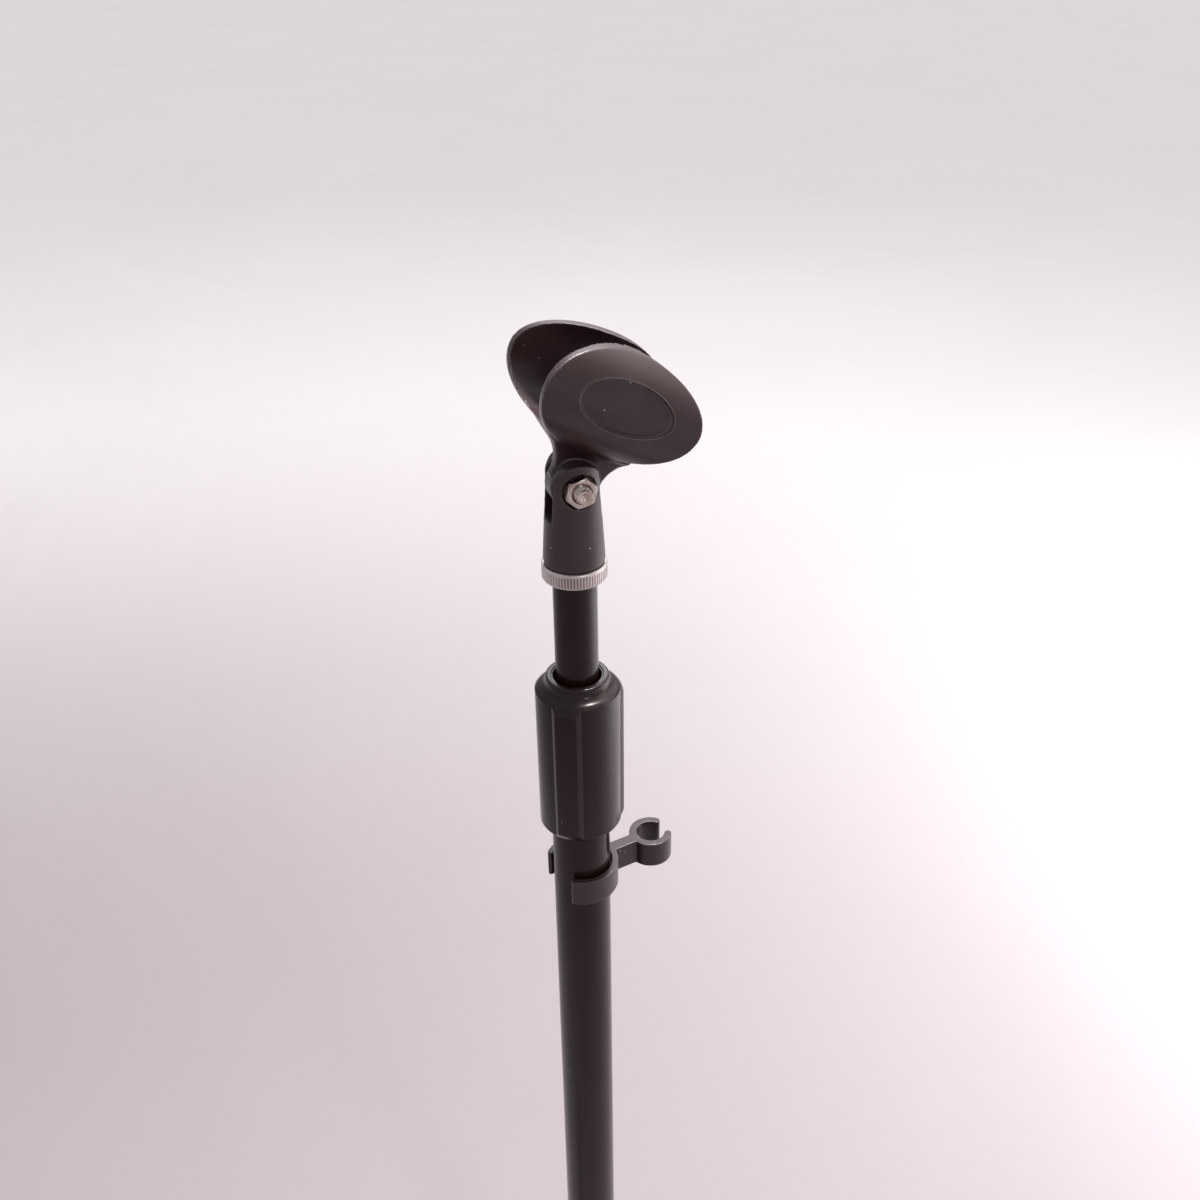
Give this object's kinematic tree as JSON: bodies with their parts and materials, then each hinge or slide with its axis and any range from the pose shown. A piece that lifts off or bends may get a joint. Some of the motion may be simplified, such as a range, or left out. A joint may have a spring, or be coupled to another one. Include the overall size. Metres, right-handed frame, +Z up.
{
  "type": "microphone stand",
  "caption": "Height-adjustable floor microphone stand: round base, sliding tube with twist clutch, cable clip, and a tilting clip with two oval flaps.",
  "frame": {"origin": "centre of the base ring's underside, on the floor", "axes": "+Z up along the tubes; +X is the way the microphone clip tilts forward; the pivot bolt lies along Y with its nut on the -Y side"},
  "size_m": [0.24, 0.24, 0.6655],
  "materials": {
    "cast_base": "fine textured black powder coat",
    "rubber": "matt moulded black rubber",
    "zinc_steel": "zinc-plated steel",
    "spring_steel": "oiled spring steel",
    "black_tube": "semi-gloss black paint on drawn steel tube",
    "nylon": "natural white nylon",
    "clip_plastic": "satin black moulded plastic with a fine grain",
    "grip_plastic": "glossy black moulded plastic",
    "nickel": "dull nickel-plated zinc with a straight knurl",
    "bolt_steel": "bright nickel-plated steel"
  },
  "bodies": {
    "base": {"base_plate": "cast_base", "base_ring": "rubber", "base_bolt": "zinc_steel", "base_washer": "zinc_steel", "base_spring_washer": "spring_steel", "tube_plug": "zinc_steel", "base_collar": "grip_plastic", "lower_tube": "black_tube", "clutch_core": "nylon", "clutch_collet": "nylon"},
    "cable_ring": {"cable_clip": "clip_plastic"},
    "grip": {"clutch_grip": "grip_plastic", "neck_bush": "grip_plastic"},
    "mast": {"upper_tube": "black_tube", "tube_guide": "nylon", "top_stud": "zinc_steel"},
    "swivel": {"thread_insert": "nickel", "clip_sleeve": "clip_plastic", "pivot_bolt": "bolt_steel", "pivot_nut": "bolt_steel"},
    "clip": {"clip_body": "clip_plastic"}
  },
  "joints": [
    {"name": "height_slide", "type": "slide", "parent": "base", "child": "mast", "axis": [0, 0, 1], "range_m": [-0.04, 0.38]},
    {"name": "clutch_twist", "type": "hinge", "parent": "base", "child": "grip", "pos_m": [0, 0, 0.5], "axis": [0, 0, 1], "range_deg": [0, 270]},
    {"name": "cable_slide", "type": "slide", "parent": "base", "child": "cable_ring", "axis": [0, 0, 1], "range_m": [-0.385, 0.022]},
    {"name": "swivel_turn", "type": "hinge", "parent": "mast", "child": "swivel", "pos_m": [0, 0, 0.585], "axis": [0, 0, 1], "range_deg": [-180, 180]},
    {"name": "clip_tilt", "type": "hinge", "parent": "swivel", "child": "clip", "pos_m": [0, 0, 0.6143], "axis": [0, 1, 0], "range_deg": [-107, 52]}
  ]
}
